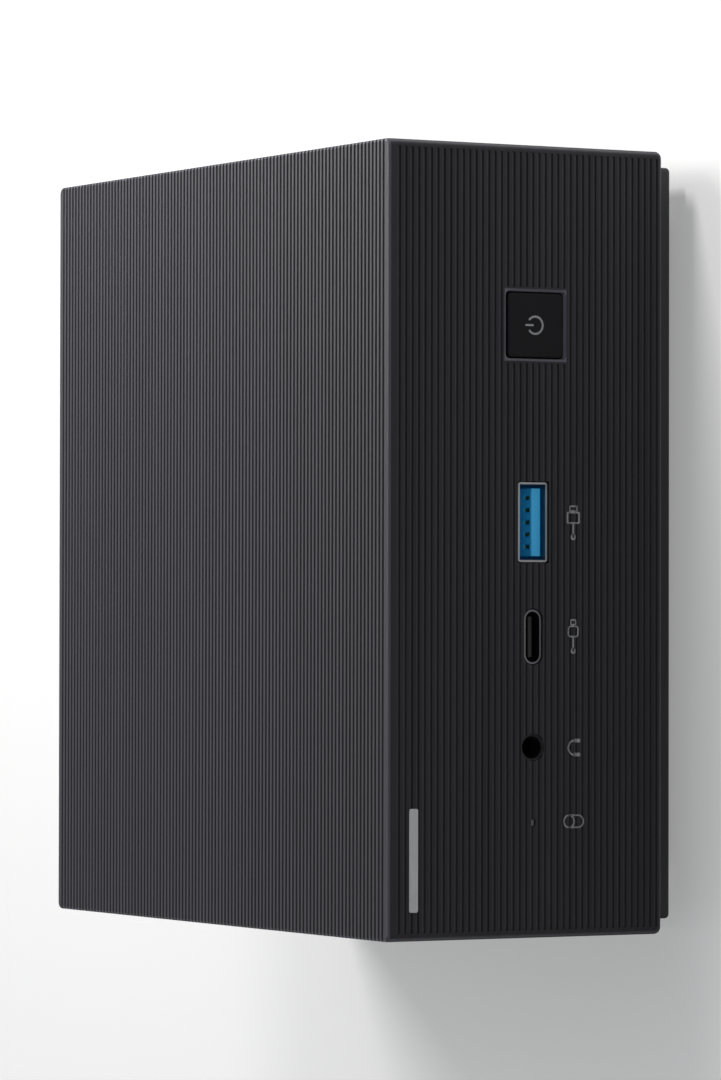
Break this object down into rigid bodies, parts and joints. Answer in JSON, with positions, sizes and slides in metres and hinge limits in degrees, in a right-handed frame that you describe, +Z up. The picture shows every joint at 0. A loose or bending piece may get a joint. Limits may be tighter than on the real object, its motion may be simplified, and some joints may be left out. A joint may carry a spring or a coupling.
{
  "type": "mini pc",
  "caption": "Compact desktop computer: ribbed box cover over a recessed base, square power button and sockets on the front, ports on the rear, blower cooling and upgrade bays inside.",
  "frame": {"origin": "on the desk plane below the centre of the body", "axes": "+X to the right seen from the front, +Y from the front panel to the rear ports, +Z up"},
  "size_m": [0.13, 0.12, 0.058],
  "materials": {
    "cover_plastic": "fine ribbed, satin",
    "base_plastic": "fine grain",
    "panel_steel": "powder coat",
    "frame_plastic": "plain",
    "foot_rubber": "matte",
    "screw_steel": "zinc plated",
    "bracket_steel": "galvanised sheet",
    "socket_steel": "nickel plated sheet",
    "board_laminate": "solder mask",
    "chip_epoxy": "moulded epoxy",
    "coil_ferrite": "pressed ferrite",
    "can_aluminium": "drawn can",
    "brass_post": "turned",
    "copper": "drawn copper",
    "fin_aluminium": "stamped sheet",
    "fan_plastic": "moulded",
    "fan_steel": "ground",
    "bearing_bronze": "sintered",
    "winding": "enamelled wire on a laminated core",
    "magnet": "bonded ferrite",
    "button_plastic": "smooth satin",
    "switch_plastic": "moulded",
    "light_plastic": "frosted clear",
    "usb_blue": "moulded",
    "socket_black": "moulded",
    "contact_gold": "gold plated",
    "cell_steel": "bright",
    "cable_jacket": "coaxial jacket",
    "antenna_film": "copper on film"
  },
  "bodies": {
    "base": {"bottom_cover": "base_plastic", "rubber_feet": "foot_rubber", "cover_screws": "screw_steel", "drive_bracket": "bracket_steel", "bracket_rivets": "screw_steel"},
    "chassis": {"top_cover": "cover_plastic", "mid_frame": "frame_plastic", "frame_screws": "screw_steel", "board_screws": "screw_steel", "mainboard": "board_laminate", "processor": "board_laminate", "heat_pipes": "copper", "cold_plate": "copper", "cold_plate_screws": "screw_steel", "fin_stack": "fin_aluminium", "fan_housing": "fan_plastic", "fan_lid": "fan_steel", "fan_screws": "screw_steel", "fan_bearing": "bearing_bronze", "fan_stator": "winding", "button_guide": "switch_plastic", "power_switch": "switch_plastic", "activity_light_pipe": "light_plastic", "front_usb_a_shell": "socket_steel", "front_usb_a_tongue": "usb_blue", "front_usb_a_contacts": "contact_gold", "front_usb_c_shell": "socket_steel", "front_usb_c_tongue": "socket_black", "headset_jack": "socket_black", "rear_panel": "panel_steel", "rear_panel_screws": "screw_steel", "dc_jack": "socket_black", "video_socket_shells": "socket_steel", "video_socket_tongues": "socket_black", "lan_socket": "socket_steel", "lan_lights": "light_plastic", "lan_contacts": "contact_gold", "rear_usb_shells": "socket_steel", "rear_usb_tongues": "usb_blue", "memory_sockets": "socket_black", "memory_modules": "board_laminate", "module_chips": "chip_epoxy", "ssd_board": "board_laminate", "card_sockets": "socket_black", "wifi_card": "board_laminate", "board_standoffs": "brass_post", "card_screws": "screw_steel", "antenna_cables": "cable_jacket", "antennas": "antenna_film", "coin_cell": "cell_steel", "coin_cell_holder": "socket_black", "power_inductors": "coil_ferrite", "capacitors": "can_aluminium", "board_chips": "chip_epoxy"},
    "power_button": {"power_button": "button_plastic"},
    "switch_plunger": {"switch_plunger": "switch_plastic"},
    "fan_rotor": {"fan_impeller": "fan_plastic", "fan_shaft": "fan_steel", "fan_magnet": "magnet"}
  },
  "joints": [
    {"name": "power_button_press", "type": "slide", "parent": "chassis", "child": "power_button", "axis": [0, 1, 0], "range_m": [0, 0.0004]},
    {"name": "switch_plunger_press", "type": "slide", "parent": "chassis", "child": "switch_plunger", "axis": [0, 1, 0], "range_m": [0, 0.0004]},
    {"name": "fan_spin", "type": "hinge", "parent": "chassis", "child": "fan_rotor", "pos_m": [-0.021, -0.001, 0.048], "axis": [0, 0, 1], "continuous": true},
    {"name": "case_lift", "type": "slide", "parent": "base", "child": "chassis", "axis": [0, 0, 1], "range_m": [0, 0.06]}
  ],
  "couplings": [
    {"joint": "switch_plunger_press", "follows": "power_button_press", "ratio": 1}
  ]
}
